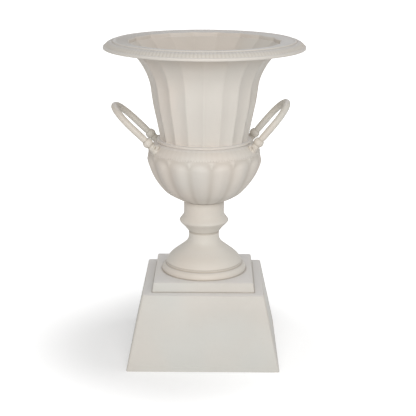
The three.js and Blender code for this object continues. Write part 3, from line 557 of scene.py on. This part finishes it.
def astragal(paint):
    """Half-round moulding between the shoulder and the bell."""
    middle = (BEAD_Z + BELL_Z) / 2
    steps = [math.pi * k / 10 for k in range(11)]
    swell = [(107.4 + 3.0 * math.sin(a), middle - 2.95 * math.cos(a)) for a in steps]
    rows = outline((BORE, BEAD_Z), (107.0, BEAD_Z), swell, (107.0, BELL_Z), (BORE, BELL_Z))
    # A little painted shade at the astragal's foot
    dust_and_shade = joint_shade((BEAD_Z, 0.6, 0.2))
    finished(turned("astragal_ring", rows, 160, dust_and_shade), paint, "bead_ring")


BELL_ARRIS = [(102.5, BELL_Z), (103.6, 516.0), (106.7, 530.0), (110.6, 550.0), (115.0, 570.0), (119.2, 590.0),
              (122.2, 610.0), (124.6, 629.0), (127.8, 643.0), (132.8, 658.0), (139.8, 672.5), (148.6, 687.0),
              (159.2, 700.0), (171.0, 711.5), (179.6, 718.6), (184.0, RIM_Z)]
FLUTE_DEPTH = 4.0


def flute_hollow(angle):
    """Shape of a flute across its width: 0 on the arris and 1 in the middle."""
    return 1 - np.abs(across(angle, FLUTES)) ** 1.9


def fluted_bell(paint):
    """Flaring bell with nineteen hollow flutes that show inside too, and run out under the rim."""
    wall = 6.5
    outer = np.array(smooth_line(BELL_ARRIS, 4))
    thick = wall + 4.0 * softened(outer[:, 1], 640.0, RIM_Z)
    inner = outer - np.stack([thick, np.zeros_like(thick)], 1)
    inner = inner[inner[:, 1] > BELL_Z + 7.5][::-1]
    seat = BELL_Z + 6
    rows = outline(outer, inner, (inner[-1][0], seat), (BORE, seat), (BORE, BELL_Z))
    number = np.arange(len(rows))[:, None]
    outside = number < len(outer)
    inside = ~outside & (number < len(outer) + len(inner) + 1)

    def flutes(angle, r, z):
        share = np.where(outside, 1 - softened(z, 704.0, 720.5), np.where(inside, 1.0, 0.0))
        hollow = flute_hollow(angle) * share
        # Outside: a painted shadow under the rim's overhang; inside: an even painted shade
        dust_and_shade = np.where(outside, 0.34 * softened(z, 672.0, 716.0), 0.14)
        return r - FLUTE_DEPTH * hollow, z, dust_and_shade

    finished(turned("fluted_bell", rows, FLUTES * 16, flutes, 60), paint, "bell")


def carved_rim(paint):
    """Overhanging rim: a bead, a channel, and a rounded band cut with fine tongues over a fillet."""
    slope = smooth_line([(173.6, RIM_Z), (174.0, 726.5), (174.8, 730.4), (177.6, 732.0), (188.0, 732.6),
                         (198.0, 733.0)], 3)
    crest = smooth_line([(201.8, 733.1), (203.8, 734.2), (205.6, 734.55), (207.2, 733.8), (208.2, 732.2)], 3)
    band = smooth_line([(209.4, 731.6), (212.2, 732.0), (216.4, 730.9), (220.8, 728.4), (224.4, 725.2),
                        (226.6, 722.4)], 4)
    fillet = smooth_line([(227.3, 721.9), (228.9, 721.3), (229.7, 719.8), (229.8, 717.4), (229.2, 715.5),
                          (227.6, 714.7)], 3)
    under = [(205.0, 714.7), (196.0, 714.9), (189.0, 716.6), (185.2, RIM_Z)]
    rows = outline(slope, crest, (208.7, 731.2), band, (226.8, RIM_Z), fillet, under)
    start = len(slope) + len(crest) + 1
    number = np.arange(len(rows))[:, None]
    line = np.clip((number - start) / (len(band) - 1), 0, 1)
    on_band = (line > 0) & (line < 1)
    on_slope = number < len(slope)
    channel = np.abs(number - start + 1) < 2

    def tongues(angle, r, z):
        u = across(angle, TONGUES, 0.5)
        width = 0.9 * np.sqrt(np.clip(1 - (np.abs(line - 0.5) / 0.5) ** 4, 0, 1))
        tongue = np.sqrt(np.clip(1 - (u / np.maximum(width, 1e-3)) ** 2, 0, 1))
        cut = np.where(on_band, 0.75 * (1 - tongue), 0)
        # The band is painted a little darker all over, with more painted shade between the tongues and in the
        # channel
        dust_and_shade = np.where(on_band, 0.14 + 0.2 * (1 - tongue), 0) + np.where(channel, 0.2, 0)
        # The inner ledge on the left side is painted darker, a painted shade
        left_painted_shade = np.exp(-((angle - 0.75 * TURN) / 0.7) ** 2)
        dust_and_shade = dust_and_shade + 0.42 * left_painted_shade * softened(z, 730.0, 731.5) * (r < 200.0)
        flute = np.where(on_slope, FLUTE_DEPTH * flute_hollow(angle) * (1 - softened(z, 730.4, 732.3)), 0)
        return r - 0.55 * cut - flute, z - 0.8 * cut, dust_and_shade

    finished(turned("carved_rim", rows, TONGUES * 8, tongues, 50), paint, "rim")


# Handles

def on_handle(points, handle):
    """Points of a handle's own frame, with the legs along +X, put in place on the urn."""
    tilt, turn = math.radians(handle["tilt"]), math.radians(handle["turn"])
    x, y, z = np.array(points, float).T
    lifted = np.stack([x * math.cos(tilt) - z * math.sin(tilt) + handle["foot"], y,
                       x * math.sin(tilt) + z * math.cos(tilt) + HANDLE_FOOT_Z], 1)
    spin = np.array([[math.cos(turn), -math.sin(turn)], [math.sin(turn), math.cos(turn)]])
    lifted[:, :2] = lifted[:, :2] @ spin.T
    return lifted


def end_caps(first, last, count, middles):
    """Faces that close a tube: fans from its first and last rings to their middle points."""
    caps = []
    for here in range(count):
        following = (here + 1) % count
        caps.append((first + following, first + here, middles[0], middles[0]))
        caps.append((last + here, last + following, middles[1], middles[1]))
    return caps


def loop_handle(name, handle, paint):
    """Round bar bent into a loop, with thinner tenons that pass through the shoulder."""
    half = HANDLE_SPAN / 2
    bend_start = handle["reach"] - LOOP_SHORT - half
    line = [(TENON_END, -half, TENON_RADIUS), (TENON_END + 0.6, -half, TENON_RADIUS),
            (BAR_START - 0.2, -half, TENON_RADIUS), (BAR_START, -half, BAR_RADIUS)]
    line += [(BAR_START + (bend_start - BAR_START) * k / 16, -half, BAR_RADIUS) for k in range(1, 16)]
    feet = len(line)
    for k in range(61):
        a = math.pi * (k / 60 - 0.5)
        line.append((bend_start + half * math.cos(a), half * math.sin(a), BAR_RADIUS))
    line += [(x, -y, r) for x, y, r in line[feet - 1::-1]]
    line = np.array(line)
    out = np.clip((line[:, 0] - COLLAR_PLACE) / (handle["reach"] - COLLAR_PLACE), 0, 1)
    line[:, 2] += (LOOP_RADIUS - BAR_RADIUS) * softened(out, 0.06, 0.14)
    centre = np.column_stack([line[:, :2], -LOOP_SAG * out])
    ahead = np.gradient(centre, axis=0)
    ahead[:5] = (1, 0, 0)
    ahead[-5:] = (-1, 0, 0)
    ahead /= np.linalg.norm(ahead, axis=1)[:, None]
    side = np.cross((0, 0, 1), ahead)
    side /= np.linalg.norm(side, axis=1)[:, None]
    lift = np.cross(ahead, side)
    count = 24
    ring = np.arange(count) * TURN / count
    hand = 1 + 0.012 * np.sin(centre[:, :1] * 0.11 + 1) + 0.01 * np.sin(centre[:, 1:2] * 0.17)
    radius = line[:, 2:3] * np.where(line[:, 2:3] > TENON_RADIUS, hand, 1)
    points = (centre[:, None] + radius[:, None] * (np.cos(ring)[None, :, None] * side[:, None]
              + np.sin(ring)[None, :, None] * lift[:, None]))
    points = np.vstack([points.reshape(-1, 3), centre[0], centre[-1]])
    size = len(line) * count
    caps = end_caps(0, size - count, count, (size, size + 1))
    faces = np.vstack([grid_faces(len(line), count, wrap_rows=False), caps])
    loop = mesh_object(name + "_loop", on_handle(points, handle), faces, np.zeros(len(points)))
    finished(loop, paint, name + "_handle")


def round_on_leg(rows, handle, side, around=32):
    """Points and faces of a closed outline turned about one leg of a handle."""
    angle = np.arange(around) * TURN / around
    points = [(x, r * math.cos(a) + side * HANDLE_SPAN / 2, r * math.sin(a)) for r, x in rows for a in angle]
    return on_handle(points, handle), grid_faces(len(rows), around)


def leg_collar(name, handle, side, paint):
    """Ball round the leg, between two small fillets."""
    bore, fillet, ball, reach = BAR_RADIUS + 0.5, 9.2, 11.8, 7.0
    swell = [(max(fillet, math.sqrt(ball ** 2 - x ** 2)), x) for x in np.linspace(-reach, reach, 15)]
    rows = outline((bore, -COLLAR_HALF), (fillet - 0.4, -COLLAR_HALF), (fillet, -7.6), swell,
                   (fillet, 7.6), (fillet - 0.4, COLLAR_HALF), (bore, COLLAR_HALF))
    rows[:, 1] += COLLAR_PLACE
    points, faces = round_on_leg(rows, handle, side)
    # Painted shade at the collar's fillets, where it meets the leg
    dust_and_shade = np.repeat(0.5 * softened(np.abs(rows[:, 1] - COLLAR_PLACE), 6.4, 7.4), len(points) // len(rows))
    finished(mesh_object(name + "_collar_ball", points, faces, dust_and_shade), paint, name + "_collar")


def leaf_at_foot(handle, side):
    """Points, faces and painted shade of the two-lobed leaf at a leg's foot, which faces outwards, tip down.
    """
    count, rings = 44, 26
    half_width, half_depth, top, tip, lean = 9.6, 8.6, 503.0, 481.0, 5.0
    v = np.linspace(0, 1, rings)[:, None]
    a = (np.arange(count) * TURN / count)[None]
    shape = np.sin(math.pi * (0.2 + 0.8 * v)) ** 0.75 * np.sqrt(np.clip(v / 0.1, 0.002, 1))
    shape = np.maximum(shape, 0.01)
    facing = np.maximum(np.sin(a), 0)
    groove = np.exp(-(np.cos(a) / 0.2) ** 2) * facing
    vein = np.cos(11 * np.abs(np.cos(a)) - 13 * v) * facing
    x = handle["foot"] - 2.5 + lean * v + half_width * shape * np.cos(a)
    out = half_depth * shape ** 0.7 * np.sin(a) * (1 - 0.3 * groove) + 0.45 * vein * shape
    y = side * (HANDLE_SPAN / 2 + 2.5 + out)
    z = top + (tip - top) * v + 0 * a
    turn = math.radians(handle["turn"])
    points = np.stack([x * math.cos(turn) - y * math.sin(turn), x * math.sin(turn) + y * math.cos(turn), z],
                      -1)
    # Painted shade in the leaf's middle groove, between its veins and along its edges
    edge = np.abs(np.cos(a)) > 0.93
    dust_and_shade = np.clip(0.35 * groove + 0.12 * (1 - vein) * facing + 0.3 * edge, 0, 1) + 0 * v
    size = rings * count
    points = points.reshape(-1, 3)
    points = np.vstack([points, points[:count].mean(0), points[size - count:].mean(0)])
    faces = np.vstack([grid_faces(rings, count, wrap_rows=False),
                       end_caps(0, size - count, count, (size, size + 1))])
    # The tip's middle point takes half painted shade
    return points, faces, np.concatenate([dust_and_shade.ravel(), [0.0, 0.5]])


def leaf_socket(name, handle, side, paint):
    """Slim cup round the foot of a leg, and the veined leaf that it grows from."""
    flare = smooth_line([(11.0, -6.0), (9.6, 0.0), (8.8, 5.0), (8.6, 9.0), (9.0, 12.8)], 4)
    rows = outline(flare, (8.8, 14.4), (7.9, 14.4), (7.9, 9.9), (5.6, 9.9), (5.6, -6.0))
    cup, cup_faces = round_on_leg(rows, handle, side)
    leaf, leaf_faces, recess = leaf_at_foot(handle, side)
    points = np.vstack([cup, leaf])
    faces = np.vstack([cup_faces, leaf_faces + len(cup)])
    piece = mesh_object(name + "_leaf_cup", points, faces, np.concatenate([np.zeros(len(cup)), recess]))
    finished(piece, paint, name + "_leaf_socket")


def build_urn():
    """Every casting in its paint, and the hidden hardware in steel and rubber."""
    body = cream_paint("cream_enamel_body", 1.0, tone=(218, 209, 199))
    foot = cream_paint("cream_enamel_foot", 12.0, tone=(219, 210, 199))
    # The pedestal's upward faces are painted lighter and the rim's darker, a painted light for how the light
    # falls on tops; the rim's cream is a little darker too, a painted shade
    block = cream_paint("cream_enamel_pedestal", 23.0, tone=(211, 206, 198), top=(231, 228, 226), shade_strength=0.8)
    lip = cream_paint("cream_enamel_rim", 7.0, tone=(215, 206, 196), top=(208, 206, 205))
    bars = cream_paint("cream_enamel_handles", 31.0, grain=1.4)
    pedestal_casting(block)
    plinth_casting(block)
    foot_ring_casting(foot)
    foot_dome_casting(foot)
    stem_casting(foot)
    gadrooned_bowl(body)
    leaf_band_shoulder(body)
    astragal(body)
    fluted_bell(body)
    carved_rim(lip)
    for name, handle in HANDLES.items():
        loop_handle(name, handle, bars)
        for side in (-1, 1):
            leg = name + ("_front" if side == handle["front"] else "_back")
            leg_collar(leg, handle, side, bars)
            leaf_socket(leg, handle, side, bars)
    zinc = zinc_plate("zinc_plated_steel")
    rubber = black_rubber("black_seal_rubber")
    for name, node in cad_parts.items():
        if not node.hide_render:
            node.data.materials.clear()
            node.data.materials.append(rubber if name == "tie_rod_seal" else zinc)


# Studio

def pale_studio():
    """White floor and a soft, plain light from the front, a little from the right and above."""
    half = 14.0
    mesh = bpy.data.meshes.new("studio_floor")
    corners = [(-half, -half, 0), (half, -half, 0), (half, half, 0), (-half, half, 0)]
    mesh.from_pydata(corners, [], [(0, 1, 2, 3)])
    floor = bpy.data.objects.new("studio_floor", mesh)
    bpy.context.scene.collection.objects.link(floor)
    mesh.materials.append(pale_floor("white_floor"))
    studio_air("studio_air", 0.45)
    lamp("front_panel", (0.1, -2.95, 1.6), (0.0, 0.0, 0.4), 2.2, 55.5)
    lamp("right_panel", (1.9, 0.1, 2.0), (0.0, 0.0, 0.3), 1.8, 5.0)


def lamp(name, place, target, size, power):
    """A round soft panel at a place in metres, turned to its target; power is in watts."""
    light = bpy.data.lights.new(name, "AREA")
    light.shape = "DISK"
    light.size = size
    light.energy = power
    panel = bpy.data.objects.new(name, light)
    panel.location = place
    panel.rotation_euler = (Vector(target) - Vector(place)).to_track_quat("-Z", "Y").to_euler()
    bpy.context.scene.collection.objects.link(panel)


def photo_camera():
    """The photograph's own viewpoint: a long lens a little above the rim, looking down."""
    place = Vector((0.02893, -2.61976, 1.04080))
    yaw, pitch, roll = 0.0075, 0.2613, 0.0038
    ahead = Vector((-math.sin(yaw) * math.cos(pitch), math.cos(yaw) * math.cos(pitch), -math.sin(pitch)))
    level = Vector((math.cos(yaw), math.sin(yaw), 0.0))
    up = level.cross(ahead)
    right = math.cos(roll) * level + math.sin(roll) * up
    up = right.cross(ahead)
    lens = bpy.data.cameras.new("photo_camera")
    lens.lens = 100.0
    lens.sensor_width = 36.0
    lens.sensor_fit = "HORIZONTAL"
    camera = bpy.data.objects.new("photo_camera", lens)
    camera.matrix_world = Matrix.Translation(place) @ Matrix((right, up, -ahead)).transposed().to_4x4()
    bpy.context.scene.collection.objects.link(camera)
    bpy.context.scene.camera = camera


photo_camera()
build_urn()
pale_studio()
bpy.context.scene.view_settings.view_transform = "Standard"
